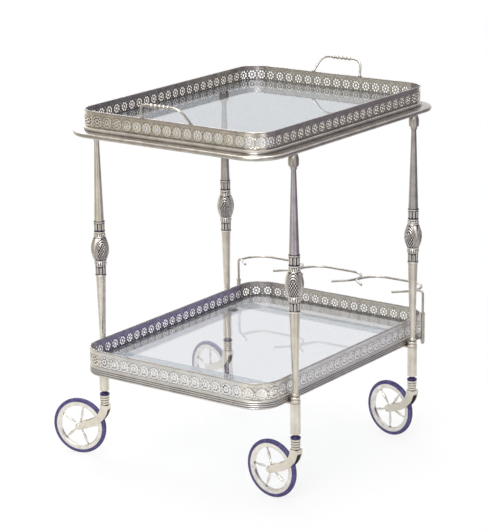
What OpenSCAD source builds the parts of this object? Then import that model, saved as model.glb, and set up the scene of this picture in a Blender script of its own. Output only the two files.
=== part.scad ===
// Two-tier bar cart: a lift-off serving tray on a half-round rim, four turned legs,
// a lower tray with a reeded foot, a wire bottle rack and four spoked casters.
// X runs along the cart (+X is the rack end), Y across it, Z up from the floor.

/* [Upper tray] */
// Length of the upper gallery, outside
tray_len = 573; // [480:1:700]
// Width of the upper gallery, outside
tray_wid = 437; // [360:1:520]
// Corner radius of the upper gallery
tray_corner = 40; // [30:1:60]
// Height of the upper gallery above its base plate
tray_wall = 34.5; // [30:0.5:45]
// How far the rim stands out past the upper gallery
rim_out = 23; // [20:0.5:30]
// Radius of the rim's half-round nosing
nosing_r = 4.5; // [4:0.5:6]
// Thickness of the tray's base plate
base_t = 3; // [2:0.1:4]
// Thickness of the upper glass
upper_glass_t = 5; // [3:0.5:6]

/* [Lower tray] */
// Length of the lower gallery, outside
shelf_len = 592; // [500:1:720]
// Corner radius of the lower gallery
shelf_corner = 50; // [35:1:70]
// Height of the lower gallery above its moulding
shelf_wall = 36; // [30:0.5:45]
// Height of one reed of the lower moulding
reed_h = 4.1; // [3:0.1:6]
// How far the reeds stand out past the lower gallery
reed_out = 1.2; // [0.8:0.1:2]
// Thickness of the lower glass
lower_glass_t = 5; // [3:0.5:8]
// Width of the rails under the lower glass
rail_w = 36; // [20:1:50]

/* [Gallery] */
// Thickness of the pierced strip
strip_t = 1.6; // [1:0.1:2.5]
// Radius of the bead along the strip's top edge
bead_r = 1.5; // [1.2:0.1:2]
// Spacing of the rosettes
rosette_pitch = 23; // [20:0.5:30]
// Height of the rosettes' centres above the strip's foot
rosette_rise = 15.2; // [12:0.1:17]
// Radius of the ring of petals
petal_ring_r = 6.9; // [6.5:0.1:7.5]
// Radius of one petal hole
petal_r = 2.3; // [1:0.1:2.3]
// Radius of the rosette's centre hole
eye_r = 2.6; // [1.5:0.1:3]
// Width of the ledge that carries the glass
ledge_w = 14; // [8:1:20]

/* [Legs] */
// Distance of the leg axes from the lower gallery's ends
leg_inset = 86; // [70:1:120]
// Radius of the upper shaft at its foot
shaft_foot_r = 9.8; // [8:0.1:11]
// Radius of the upper shaft at its neck
shaft_neck_r = 5; // [4.4:0.1:7]
// Radius of the turned knop at its widest
knop_r = 17.9; // [15:0.1:22]
// Height of the turned knop
knop_h = 113; // [95:1:130]
// Height of the tapered shaft above the knop
upper_shaft_h = 166.5; // [120:0.5:220]
// Height of the tapered shaft below the knop, with its collar
lower_leg_h = 175.9; // [140:0.1:220]
// How far the leg axes stand out past the upper gallery
leg_out = 15; // [12:0.5:18]
// Radius of the acorn cap under the rim
cap_r = 10.4; // [9.5:0.1:11.5]
// Height of the acorn cap, with the part let into the rim
cap_h = 28; // [22:0.5:32]
// How deep the caps are let into the underside of the rim
cap_in = 5.5; // [3:0.1:6]
// Height of the plain sleeve at the foot of the leg
sleeve_h = 60; // [50:1:80]
// Radius of the plain sleeve
sleeve_r = 9.8; // [8.5:0.1:12]
// Radius of the collar that meets the lower tray
collar_r = 10; // [9:0.1:13]
// Thickness of the clip under the lower tray
clip_t = 3; // [2:0.5:4]
// Radius of the rod through each leg
rod_r = 2.5; // [2:0.1:3]

/* [Casters] */
// Radius of the wheel over its tyre
wheel_r = 58.3; // [50:0.1:65]
// Width of the tyre
tyre_w = 10; // [8:0.5:12]
// Depth of the tyre, from the tread to its seat
tyre_t = 7.5; // [5:0.5:10]
// Depth of the wheel's flat rim band
rim_band = 8.8; // [6:0.1:11]
// Number of spokes
spokes = 5; // [4:1:8]
// Distance from the swivel axis to the wheel's axle
trail = 57.5; // [50:0.5:65]
// Height of the ring collar above the axle
fork_rise = 51.7; // [46:0.1:60]
// Height of the ringed collar
ring_h = 21; // [15:0.1:25]
// Radius of the ringed collar
ring_r = 9.7; // [9.2:0.1:12]
// Height of the dark cone, with its flange
cone_h = 7.4; // [5:0.1:12]
// Length of bare stem between the cone and the sleeve
neck_h = 2.2; // [2:0.1:12]
// Radius of the swivel stem
stem_r = 3.2; // [2.5:0.1:4]
// Length of the swivel stem inside the sleeve
stem_in = 38; // [30:1:40]
// Thickness of each fork prong
prong_t = 3; // [2:0.1:4]
// Radius of the axle
axle_r = 2.5; // [2:0.1:3]
// Direction in which each caster trails, in degrees from +X
trail_dirs = [104, 79, 87, 82];
// How far each wheel has rolled, in degrees
roll_turns = [30, 18, 2, 54];

/* [Rack and handles] */
// Radius of the rack's wire
wire_r = 2.5; // [2:0.1:3]
// Height of the rack above the lower gallery
rack_rise = 53.5; // [40:0.5:70]
// Distance of the rack's posts from the lower gallery's rear end
rack_inset = 44; // [36:1:54]
// Radius of the sockets that hold the posts
socket_r = 4.2; // [3.6:0.1:5]
// Half of a handle's span between its feet
handle_half = 57; // [45:1:70]
// Height of a handle, measured up its slope
handle_h = 36; // [30:1:45]
// How far a handle leans outwards, in degrees
handle_lean = 33; // [0:1:34]
// Radius of the handle's rod
handle_r = 2.4; // [2:0.1:3]
// Radius of the bends beside the handle's grip
handle_bend = 22; // [15:1:26]
// Radius of the five beads on a handle's grip
grip_r = 4.1; // [3.2:0.1:5]
// Spacing of the beads on a handle's grip
grip_step = 9.6; // [8:0.1:11]

/* [Hidden] */
CORNERS = ["front_left", "rear_left", "front_right", "rear_right"];
LEG_PARTS = ["upper_leg", "knop", "lower_leg", "sleeve"];
CASTER_PARTS = ["stem", "fork", "axle", "wheel", "tyre"];
SINGLE = ["upper_rim", "leg_caps", "leg_rods", "tray_clips",
    "upper_gallery_left", "upper_gallery_right", "upper_gallery_front", "upper_gallery_rear",
    "upper_gallery_corners", "upper_tray_base", "upper_glass", "handle_front", "handle_rear",
    "lower_gallery_left", "lower_gallery_right", "lower_gallery_front", "lower_gallery_rear",
    "lower_gallery_corners", "lower_moulding", "lower_glass", "glass_rails",
    "rack_loops", "rack_posts", "rack_sockets"];

$fn = 48;
silver = "#b9b3a6";
ivory = "#dcd8cc";
dark = "#4a4470";
pane = [0.8, 0.83, 0.86, 0.5];

// Clearances: glass in its frame, shafts in their holes, and pieces let into others. The legs'
// rods end this far above the caps, inside the rim.
glass_gap = 0.3;
run_gap = 0.05;
set_gap = 0.4;
rod_in = 2;

// Heights, from the floor up
fork_top = wheel_r + fork_rise;
cone_z = fork_top + ring_h;
neck_z = cone_z + cone_h;
sleeve_z = neck_z + neck_h;
clip_z = sleeve_z + sleeve_h;
lower_leg_z = clip_z + clip_t;
knop_z = lower_leg_z + lower_leg_h;
upper_leg_z = knop_z + knop_h;
cap_z = upper_leg_z + upper_shaft_h;
cap_top = cap_z + cap_h;
rim_z = cap_top - cap_in + nosing_r;
base_z = rim_z + nosing_r + 2.9;
plate_top = base_z + base_t;
gallery_top = plate_top + tray_wall;

// Lower tray, carried on the clips between the legs
leg_y = tray_wid / 2 + leg_out;
shelf_wid = 2 * (leg_y - collar_r - 0.3 - reed_out);
reeds = 4;
moulding_top = lower_leg_z + reeds * reed_h;
shelf_top = moulding_top + shelf_wall;
ledge_t = 3;

// Half sizes of the two trays
tray_hx = tray_len / 2;
tray_hy = tray_wid / 2;
shelf_hx = shelf_len / 2;
shelf_hy = shelf_wid / 2;
leg_x = shelf_hx - leg_inset;

// Casters
hub_half = prong_t + 3.2;
prong_in = hub_half + 0.3;
seat_r = wheel_r - tyre_t;
stem_top = sleeve_z + stem_in;

// Rack: three loops in a row between the posts
rack_x = shelf_hx - rack_inset;
rack_z = shelf_top + rack_rise;
socket_out = 5;
post_y = shelf_hy + reed_out + socket_out + socket_r;
post_bend = 8;
post_link = 6;
loop_out = 46;
loop_end_r = 38;
loop_tail = 32;
hook_r = 10;
hook_len = 34;
braze = 0.6;
loop_cx = loop_out - loop_end_r;
loop_reach = sqrt(pow(loop_end_r + 2 * wire_r - braze, 2) - pow(loop_cx, 2));
loop_start_y = post_y - post_bend - wire_r;
loop_pitch = (loop_start_y + post_y - post_bend - post_link - wire_r + loop_reach
    - sqrt(pow(loop_end_r, 2) - pow(loop_cx, 2))) / 3;
loop_cy = loop_pitch - loop_reach;
socket_lip = 2;
socket_depth = 52;
socket_top = shelf_top + 7.5;

// The origin lies on the floor under the middle of the object's box. Only the casters
// make that box lopsided, because all of them trail towards +Y.
caster_reach = max([for (i = [0, 1])
    leg_y + (trail + wheel_r) * sin(trail_dirs[i]) + tyre_w / 4 * abs(cos(trail_dirs[i]))]);
origin_y = (caster_reach - (tray_hy + rim_out)) / 2;

function corner_x(i) = i % 2 == 0 ? -leg_x : leg_x;
function corner_y(i) = i < 2 ? leg_y : -leg_y;

// Puts what is drawn about the middle of the trays into the object's frame
module place() {
    translate([0, -origin_y, 0]) children();
}

// Puts what is drawn about a leg's axis at corner i
module at_leg(i) {
    place() translate([corner_x(i), corner_y(i), 0]) children();
}

// Sweeps a section round a rectangle with round corners. The section's x is the distance
// outwards from the outline, and its y is the height.
module swept_frame(hx, hy, r) {
    sx = hx - r;
    sy = hy - r;
    for (a = [0, 180]) rotate([0, 0, a]) {
        translate([-sx, hy, 0]) rotate([90, 0, 90]) linear_extrude(2 * sx) children();
        translate([hx, sy, 0]) rotate([90, 0, 0]) linear_extrude(2 * sy) children();
        translate([sx, sy, 0]) rotate_extrude(angle = 90) translate([r, 0]) children();
        translate([-sx, sy, 0]) rotate([0, 0, 90]) rotate_extrude(angle = 90) translate([r, 0]) children();
    }
}

// Solid slab with round corners
module slab(hx, hy, r, h) {
    linear_extrude(h) union() {
        square([2 * (hx - r), 2 * hy], center = true);
        square([2 * hx, 2 * (hy - r)], center = true);
        for (x = [-1, 1]) for (y = [-1, 1])
            translate([x * (hx - r), y * (hy - r)]) circle(r);
    }
}

// Galleries

dot_r = 1.3;
dot_off = 7.6;

function petals(r) = [for (k = [0:7]) [r * cos(45 * k + 22.5), r * sin(45 * k + 22.5)]];

module rosette_holes() {
    circle(eye_r);
    for (p = petals(petal_ring_r)) translate(p) circle(petal_r);
}

module dot_holes() {
    for (s = [-1, 1]) translate([0, s * dot_off]) circle(dot_r);
}

// One straight run of pierced strip along X, with its outer face at y = 0
module pierced_strip(run, h) {
    n = floor(run / rosette_pitch);
    step = run / n;
    rotate([90, 0, 0]) linear_extrude(strip_t) difference() {
        translate([-run / 2, 0]) square([run, h - bead_r]);
        for (k = [0:n - 1]) translate([-run / 2 + (k + 0.5) * step, rosette_rise]) rosette_holes();
        for (k = [1:n - 1]) translate([-run / 2 + k * step, rosette_rise]) dot_holes();
    }
    translate([-run / 2, -strip_t / 2, h - bead_r]) rotate([0, 90, 0]) cylinder(r = bead_r, h = run);
}

// One quarter bend of pierced strip about the Z axis, from +X to +Y
module pierced_bend(r, h) {
    n = round(r * PI / 2 / rosette_pitch);
    step = 90 / n;
    difference() {
        rotate_extrude(angle = 90) translate([r - strip_t, 0]) square([strip_t, h - bead_r]);
        for (k = [0:n - 1]) for (p = concat([[0, 0]], petals(petal_ring_r)))
            rotate([0, 0, (k + 0.5) * step + p[0] / r * 180 / PI])
                translate([r - 2 * strip_t, 0, rosette_rise + p[1]]) rotate([0, 90, 0])
                    cylinder(r = p == [0, 0] ? eye_r : petal_r, h = 3 * strip_t);
    }
    translate([0, 0, h - bead_r]) rotate_extrude(angle = 90) translate([r - strip_t / 2, 0]) circle(bead_r);
}

// One side of a gallery: side 0 left (+Y), 1 right, 2 front (-X), 3 rear
module gallery_side(hx, hy, r, h, z, side) {
    along = side < 2;
    run = 2 * ((along ? hx : hy) - r);
    turn = [0, 180, 90, -90][side];
    color(silver) place() translate([0, 0, z]) rotate([0, 0, turn])
        translate([0, along ? hy : hx, 0]) pierced_strip(run, h);
}

module gallery_corners(hx, hy, r, h, z) {
    color(silver) place() translate([0, 0, z])
        for (a = [0, 180]) rotate([0, 0, a]) {
            translate([hx - r, hy - r, 0]) pierced_bend(r, h);
            translate([-(hx - r), hy - r, 0]) rotate([0, 0, 90]) pierced_bend(r, h);
        }
}

// Upper frame and tray

// The plate's edge stands this far past the gallery, as a thin bright line over a dark slit
flange_out = 3.2;
rib_w = 2;

// The rim's section. The tray's plate lies on its inner part, which is a step higher than the
// flat between the plate's edge and the nosing.
module rim_section() {
    mid = rim_out - nosing_r;
    seat = base_z - rim_z;
    seat_t = 3.5;
    translate([mid, 0]) circle(nosing_r);
    polygon([[-ledge_w, seat - seat_t], [0, seat - seat_t], [3, -nosing_r + 1], [leg_out - cap_r - 1, -nosing_r],
        [mid, -nosing_r], [mid, nosing_r], [2, nosing_r + 0.8], [1, seat], [-ledge_w, seat]]);
}

module upper_rim() {
    color(silver) place() difference() {
        translate([0, 0, rim_z]) swept_frame(tray_hx, tray_hy, tray_corner) rim_section();
        for (i = [0:3]) translate([corner_x(i), corner_y(i), cap_z]) {
            rotate_extrude() polygon(concat([[0, cap_dome_z]], cap_dome(set_gap), [[0, cap_h]]));
            cylinder(r = rod_r + run_gap, h = cap_h + rod_in + 0.5);
        }
    }
}

// The tray's base is a ring plate with a rib below, which drops inside the rim's step
module upper_tray_base() {
    rib_out = -ledge_w - set_gap;
    color(silver) place() translate([0, 0, base_z]) swept_frame(tray_hx, tray_hy, tray_corner)
        polygon([[rib_out - rib_w, -3], [rib_out, -3], [rib_out, 0], [flange_out, 0], [flange_out, base_t],
            [rib_out - rib_w, base_t]]);
}

module upper_glass() {
    in = strip_t + glass_gap;
    color(pane) place() translate([0, 0, plate_top])
        slab(tray_hx - in, tray_hy - in, tray_corner - in, upper_glass_t);
}

// Straight rod along Z from z = 0 to h. It runs a little way into the bends at its ends and
// is a hair thinner, so that no two round surfaces coincide.
lap = 0.4;
hair = 0.02;

module rod(r, h) {
    translate([0, 0, -lap]) cylinder(r = r - hair, h = h + 2 * lap);
}

// A handle in the YZ plane: a beaded grip between two bends, and two splayed ends
module upright_handle() {
    splay = 16;
    foot_len = (handle_h - handle_bend * (1 - sin(splay))) / cos(splay);
    shoulder = handle_half - foot_len * sin(splay) - handle_bend * cos(splay);
    translate([0, 0, handle_h]) rotate([90, 0, 0]) rotate_extrude() {
        translate([0, -shoulder - lap]) square([handle_r - hair, 2 * (shoulder + lap)]);
        for (k = [-2:2]) translate([0, k * grip_step]) intersection() {
            scale([1, 0.9]) circle(grip_r);
            translate([0, -grip_r]) square([grip_r, 2 * grip_r]);
        }
    }
    for (a = [0, 1]) mirror([0, a, 0]) {
        translate([0, shoulder, handle_h - handle_bend]) rotate([0, -90, 0])
            rotate_extrude(angle = 90 - splay) translate([handle_bend, 0]) circle(handle_r);
        translate([0, handle_half, 0]) rotate([splay, 0, 0]) rod(handle_r, foot_len);
    }
}

module handle(end) {
    room = 4 * handle_r;
    color(silver) place() translate([end * (tray_hx - strip_t / 2), 0, gallery_top]) {
        for (s = [-1, 1]) translate([0, s * handle_half, 0]) cylinder(r = handle_r + 1.8, h = 1.2);
        difference() {
            rotate([0, end * handle_lean, 0]) upright_handle();
            translate([-room, -handle_half - room, -room]) cube([2 * room, 2 * (handle_half + room), room]);
        }
    }
}

module handle_front() { handle(-1); }
module handle_rear() { handle(1); }

// Lower tray

module lower_moulding() {
    color(silver) place() translate([0, 0, lower_leg_z]) swept_frame(shelf_hx, shelf_hy, shelf_corner) union() {
        translate([-4, 0]) square([4, reeds * reed_h]);
        for (k = [0:reeds - 1]) translate([reed_out - reed_h / 2, (k + 0.5) * reed_h]) circle(reed_h / 2);
        translate([-ledge_w, reeds * reed_h - ledge_t]) square([ledge_w, ledge_t]);
    }
}

module lower_glass() {
    in = strip_t + glass_gap;
    color(pane) place() translate([0, 0, moulding_top])
        slab(shelf_hx - in, shelf_hy - in, shelf_corner - in, lower_glass_t);
}

module glass_rails() {
    rail_t = 2;
    reach = shelf_hy - ledge_w;
    color(silver) place() for (x = [-leg_x, leg_x])
        translate([x - rail_w / 2, -reach, moulding_top - rail_t]) cube([rail_w, 2 * reach, rail_t]);
}

module tray_clips() {
    tab_w = 15;
    color(silver) for (i = [0:3]) at_leg(i) translate([0, 0, clip_z]) difference() {
        union() {
            cylinder(r = sleeve_r, h = clip_t);
            translate([-tab_w / 2, i < 2 ? -collar_r - 14 : 0, 0]) cube([tab_w, collar_r + 14, clip_t]);
        }
        translate([0, 0, -1]) cylinder(r = rod_r + run_gap, h = clip_t + 2);
    }
}

// Legs

// Turns a profile and drills it for the leg's rod
module turned(points, h) {
    difference() {
        rotate_extrude() polygon(concat([[0, 0]], points, [[0, h]]));
        translate([0, 0, -1]) cylinder(r = rod_r + run_gap, h = h + 2);
    }
}

// Outline of a cap's dome, up from its widest ring, grown outwards by a clearance
cap_dome_z = 11;

function cap_dome(grow) =
    let (top_r = rod_r + 1.1, last = acos(top_r / cap_r))
    [for (k = [0:8]) let (a = last * k / 8)
        [cap_r * cos(a) + grow, cap_dome_z + (cap_h - cap_dome_z) * sin(a) / sin(last)]];

module leg_caps() {
    color(silver) for (i = [0:3]) at_leg(i) translate([0, 0, cap_z])
        turned(concat([[8.6, 0], [8.8, 1.6], [cap_r - 0.2, 2.6]], cap_dome(0)), cap_h);
}

module upper_leg(i) {
    h = upper_shaft_h;
    ring_r = shaft_neck_r + 1.4;
    color(silver) at_leg(i) translate([0, 0, upper_leg_z])
        turned([[shaft_foot_r, 0], [shaft_neck_r, h - 6], [ring_r - 0.2, h - 5.4], [ring_r, h - 3],
            [ring_r - 0.2, h - 0.6], [ring_r - 1, h]], h);
}

module lower_leg(i) {
    h = lower_leg_h;
    color(ivory) at_leg(i) translate([0, 0, lower_leg_z])
        turned([[collar_r - 0.6, 0], [collar_r, 1], [collar_r, 3.6], [collar_r - 1.2, 4.4], [8.7, 5.2],
            [9.3, 6.5], [9.3, 10], [8.4, 11.2], [6.6, 11.8], [7.2, 13], [7.2, 15.6], [6, 17], [5.5, 18.4],
            [9.7, h]], h);
}

module knop(i) {
    h = knop_h;
    bulb_lo = 0.279 * h;
    bulb_hi = 0.717 * h;
    bulb_n = 14;
    foot = [[10.6, 0], [11.4, 0.8], [11.4, 3.2], [10.4, 4], [10.2, 5], [10.4, bulb_lo - 11],
        [11, bulb_lo - 10.1], [11.9, bulb_lo - 7.5], [12.3, bulb_lo - 3.5], [11.4, bulb_lo - 0.9]];
    bulb = [for (k = [0:bulb_n]) let (t = k / bulb_n)
        [11.2 + (knop_r - 11.2) * pow(sin(180 * t), 0.8), bulb_lo + (bulb_hi - bulb_lo) * t]];
    head = [[11.8, bulb_hi + 1.2], [10.4, bulb_hi + 7], [11, bulb_hi + 8], [11.1, bulb_hi + 11],
        [10.3, bulb_hi + 12], [10.2, bulb_hi + 15], [10.5, h - 5], [11.1, h - 4], [11.1, h - 0.8], [10.4, h]];
    color(silver) at_leg(i) translate([0, 0, knop_z]) turned(concat(foot, bulb, head), h);
}

module sleeve(i) {
    wall_top = sleeve_h - 18;
    color(ivory) at_leg(i) translate([0, 0, sleeve_z]) difference() {
        cylinder(r = sleeve_r, h = sleeve_h);
        translate([0, 0, -1]) cylinder(r = stem_r + run_gap, h = stem_top - sleeve_z + 1.3);
        translate([0, 0, wall_top]) cylinder(r = rod_r + run_gap, h = sleeve_h);
    }
}

module leg_rods() {
    foot = sleeve_z + sleeve_h - 17;
    color(dark) for (i = [0:3]) at_leg(i) translate([0, 0, foot])
        cylinder(r = rod_r, h = cap_top + rod_in - foot);
}

// Casters

// Puts what is drawn with the swivel axis on Z and the wheel towards +X at corner i
module at_caster(i) {
    at_leg(i) rotate([0, 0, trail_dirs[i]]) children();
}

function bezier(a, b, c, d, t) =
    pow(1 - t, 3) * a + 3 * pow(1 - t, 2) * t * b + 3 * (1 - t) * t * t * c + t * t * t * d;

// Side view of one prong: a curved horn from the collar down to the axle
module prong_shape() {
    n = 16;
    a = [-0.9, fork_top];
    b = [-0.9, wheel_r + fork_rise * 0.42];
    c = [trail * 0.4, wheel_r + fork_rise * 0.18];
    d = [trail, wheel_r];
    mid = [for (k = [0:n]) bezier(a, b, c, d, k / n)];
    dir = [for (k = [0:n]) let (v = mid[min(k + 1, n)] - mid[max(k - 1, 0)]) v / norm(v)];
    half = [for (k = [0:n]) ring_r - 1.3 - 1.4 * k / n];
    left = [for (k = [0:n]) mid[k] + half[k] * [-dir[k][1], dir[k][0]]];
    right = [for (k = [n:-1:0]) mid[k] - half[k] * [-dir[k][1], dir[k][0]]];
    polygon(concat(left, right));
    translate(d) circle(half[n] + 0.3);
}

module stem(i) {
    tenon = ring_h + 3;
    flange_h = 0.42 * cone_h;
    color(dark) at_caster(i) translate([0, 0, cone_z]) rotate_extrude() polygon([[0, -tenon], [stem_r, -tenon],
        [stem_r, 0], [ring_r, 0], [ring_r + 0.4, 0.5], [ring_r + 0.4, flange_h - 0.5], [ring_r, flange_h],
        [ring_r - 1.6, flange_h], [ring_r - 1.8, flange_h + 0.6], [stem_r + 1, cone_h], [stem_r, cone_h],
        [stem_r, stem_top - cone_z], [0, stem_top - cone_z]]);
}

module fork(i) {
    yoke_h = 10;
    outer = prong_in + prong_t;
    groove = 1.1;
    pitch = ring_h / 4;
    collar = [for (k = [0:3]) let (r = ring_r - 1 + k / 3) each [[r - groove, k * pitch], [r, k * pitch + 0.8],
        [r, (k + 1) * pitch - 0.8], [r - groove, (k + 1) * pitch]]];
    color(ivory) at_caster(i) difference() {
        union() {
            translate([0, 0, fork_top])
                rotate_extrude() polygon(concat([[0, 0]], collar, [[0, ring_h]]));
            for (y = [-prong_in, outer]) translate([0, y, 0])
                rotate([90, 0, 0]) linear_extrude(prong_t) prong_shape();
            intersection() {
                translate([0, outer, 0]) rotate([90, 0, 0]) linear_extrude(2 * outer) prong_shape();
                translate([-2 * ring_r, -outer, fork_top - yoke_h]) cube([4 * ring_r, 2 * outer, yoke_h]);
            }
        }
        translate([0, 0, cone_z - ring_h - 3.3]) cylinder(r = stem_r + run_gap, h = ring_h + 4);
        translate([trail, 0, wheel_r]) rotate([90, 0, 0])
            cylinder(r = axle_r + run_gap, h = 2 * outer + 2, center = true);
    }
}

module axle(i) {
    head_t = 1.6;
    reach = prong_in + prong_t;
    color(dark) at_caster(i) translate([trail, 0, wheel_r]) rotate([90, 0, 0]) {
        cylinder(r = axle_r, h = 2 * reach, center = true);
        for (s = [0, 1]) mirror([0, 0, s]) translate([0, 0, reach])
            cylinder(r1 = axle_r + 1.6, r2 = axle_r + 0.6, h = head_t);
    }
}

// One turned spoke along +Z
module spoke(r0, r1) {
    d = r1 - r0;
    rotate_extrude() polygon([[0, 0], [2.2, 0], [1.5, 0.1 * d], [1.5, 0.16 * d], [2.3, 0.22 * d], [1.6, 0.27 * d],
        [2.6, 0.42 * d], [3, 0.55 * d], [2.6, 0.68 * d], [1.6, 0.84 * d], [1.5, d], [0, d]]);
}

module wheel(i) {
    hub_r = 6.4;
    band_r = seat_r - rim_band;
    color(ivory) at_caster(i) translate([trail, 0, wheel_r]) rotate([90, 0, 0]) difference() {
        union() {
            rotate_extrude() polygon([[band_r, -3.2], [band_r + 1.5, -4], [seat_r, -4], [seat_r, 4],
                [band_r + 1.5, 4], [band_r, 3.2]]);
            rotate_extrude() polygon([[0, -hub_half], [4.6, -hub_half], [5, -4.5], [hub_r, -3.4], [hub_r, 3.4],
                [5, 4.5], [4.6, hub_half], [0, hub_half]]);
            for (k = [0:spokes - 1]) rotate([0, 0, 360 / spokes * k + roll_turns[i]]) rotate([0, 90, 0])
                translate([0, 0, hub_r - 1.5]) spoke(hub_r - 1.5, band_r + 0.6);
        }
        cylinder(r = axle_r + run_gap, h = 2 * hub_half + 2, center = true);
    }
}

module tyre(i) {
    shoulder = tyre_w / 2 - 1;
    arc = [for (a = [-80:20:80]) [wheel_r - 2.6 + 2.6 * cos(a), shoulder * sin(a)]];
    color(dark) at_caster(i) translate([trail, 0, wheel_r]) rotate([90, 0, 0])
        rotate_extrude() polygon(concat([[seat_r, -tyre_w / 2 + 0.6], [seat_r + 1, -tyre_w / 2]], arc,
            [[seat_r + 1, tyre_w / 2], [seat_r, tyre_w / 2 - 0.6]]));
}

// Bottle rack

// Wire that starts at the origin along +X and follows a list of [straight, turn, radius],
// bending to its left where the turn is positive
module bent_wire(steps, k = 0) {
    if (k < len(steps)) {
        run = steps[k][0];
        turn = steps[k][1];
        bend = turn > 0 ? steps[k][2] : -steps[k][2];
        if (run > 0) rotate([0, 90, 0]) rod(wire_r, run);
        if (turn != 0) translate([run, bend, 0]) {
            rotate([0, 0, turn > 0 ? -90 : 90 + turn])
                rotate_extrude(angle = abs(turn)) translate([abs(bend), 0]) circle(wire_r);
            rotate([0, 0, turn]) translate([0, -bend, 0]) bent_wire(steps, k + 1);
        }
    }
}

module rack_loops() {
    turn = 49;
    tip_x = rack_x - hook_len * cos(turn) - hook_r * sin(turn);
    tip_y = loop_start_y - hook_len * sin(turn) - hook_r * (1 - cos(turn));
    color(silver) place() for (k = [0:2]) translate([tip_x, tip_y - k * loop_pitch, rack_z])
        rotate([0, 0, turn]) bent_wire([[hook_len, -turn, hook_r], [1, -90, loop_out],
            [loop_cy - loop_out, -135, loop_end_r], [loop_tail, 0, 0]]);
}

module rack_posts() {
    foot = socket_top - socket_depth + 1;
    color(silver) place() for (left = [0, 1])
        mirror([0, left, 0]) translate([rack_x, -post_y, foot]) rotate([0, -90, 0])
            bent_wire([[rack_z - post_bend - foot, 90, post_bend], [(1 - left) * (post_link - lap), 0, 0]]);
}

module rack_sockets() {
    foot = socket_top - socket_depth - 10;
    peg_z = lower_leg_z + reed_h;
    color(silver) place() for (s = [-1, 1]) translate([rack_x, s * post_y, 0]) difference() {
        union() {
            translate([0, 0, foot]) cylinder(r = socket_r, h = socket_top - foot);
            translate([0, 0, socket_top - socket_lip]) cylinder(r = socket_r + 0.9, h = socket_lip);
            translate([0, 0, foot - 1]) sphere(socket_r - 0.4);
            translate([0, 0, peg_z]) rotate([90 * s, 0, 0]) cylinder(r = 2.4, h = socket_r + socket_out);
        }
        translate([0, 0, socket_top - socket_depth]) cylinder(r = wire_r + run_gap, h = socket_depth + 1);
    }
}

upper_rim();
leg_caps();
leg_rods();
tray_clips();
for (k = [0:3]) {
    side = ["left", "right", "front", "rear"][k];
    gallery_side(tray_hx, tray_hy, tray_corner, tray_wall, plate_top, k);
    gallery_side(shelf_hx, shelf_hy, shelf_corner, shelf_wall, moulding_top, k);
}
gallery_corners(tray_hx, tray_hy, tray_corner, tray_wall, plate_top);  // upper_gallery_corners
gallery_corners(shelf_hx, shelf_hy, shelf_corner, shelf_wall, moulding_top);  // lower_gallery_corners
upper_tray_base();
upper_glass();
handle_front();
handle_rear();
lower_moulding();
lower_glass();
glass_rails();
rack_loops();
rack_posts();
rack_sockets();
for (i = [0:3]) {
    upper_leg(i);
    knop(i);
    lower_leg(i);
    sleeve(i);
    stem(i);
    fork(i);
    axle(i);
    wheel(i);
    tyre(i);
}
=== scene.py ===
import math

import bpy
import numpy as np
from mathutils import Matrix, Vector
from mathutils.geometry import delaunay_2d_cdt


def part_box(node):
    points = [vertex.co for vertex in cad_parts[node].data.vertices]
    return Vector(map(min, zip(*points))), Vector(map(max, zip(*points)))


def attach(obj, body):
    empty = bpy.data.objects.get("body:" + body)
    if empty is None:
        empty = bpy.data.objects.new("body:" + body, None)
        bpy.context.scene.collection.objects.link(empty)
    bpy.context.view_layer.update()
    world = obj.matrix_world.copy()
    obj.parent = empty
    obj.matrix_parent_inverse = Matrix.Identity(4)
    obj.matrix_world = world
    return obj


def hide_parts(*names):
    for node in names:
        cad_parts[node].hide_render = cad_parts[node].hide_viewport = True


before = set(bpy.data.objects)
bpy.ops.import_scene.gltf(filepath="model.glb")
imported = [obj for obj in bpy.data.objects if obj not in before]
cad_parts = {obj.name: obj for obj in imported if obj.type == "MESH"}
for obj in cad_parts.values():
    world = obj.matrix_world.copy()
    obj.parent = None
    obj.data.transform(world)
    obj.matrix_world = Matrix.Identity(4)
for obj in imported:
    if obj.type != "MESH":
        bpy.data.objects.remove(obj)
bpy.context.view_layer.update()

mm = 0.001
corners = ("front_left", "rear_left", "front_right", "rear_right")
rimLow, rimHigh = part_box("upper_rim")
middleY = (rimLow.y + rimHigh.y) / 2   # off the origin, because all the casters trail one way
print("frame loaded:", len(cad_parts), "nodes")


# sRGB hex to linear: below 0.04045 divide by 12.92, above it the 2.4 power curve
def linear(hexColour, alpha=1.0):
    c = [int(hexColour[i:i + 2], 16) / 255 for i in (1, 3, 5)]
    return [x / 12.92 if x <= 0.04045 else ((x + 0.055) / 1.055) ** 2.4 for x in c] + [alpha]


# Adds a node, fills its inputs or properties, and links inputs from (node, output) pairs
def addNode(tree, kind, settings=None, links=None):
    n = tree.nodes.new(kind)
    for key, value in (settings or {}).items():
        if isinstance(key, str) and hasattr(n, key):
            setattr(n, key, value)
        else:
            n.inputs[key].default_value = value
    for key, (source, output) in (links or {}).items():
        tree.links.new(source.outputs[output], n.inputs[key])
    return n


def newMaterial(name):
    m = bpy.data.materials.new(name)
    m.use_nodes = True
    m.node_tree.nodes.clear()
    return m, m.node_tree


# What the plated finishes share. Clouds of tarnish, the grain and the reach of a hollow's
# tarnish are in mm. open and shut say how free a point is where tarnish starts and where it is
# full. matt is the roughness that ledges have beyond the rest.
plated = {"cloud": 22, "grain": 1.6, "reach": 5, "open": 0.9, "shut": 0.45, "bump": 0.12, "matt": 0.0}


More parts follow.
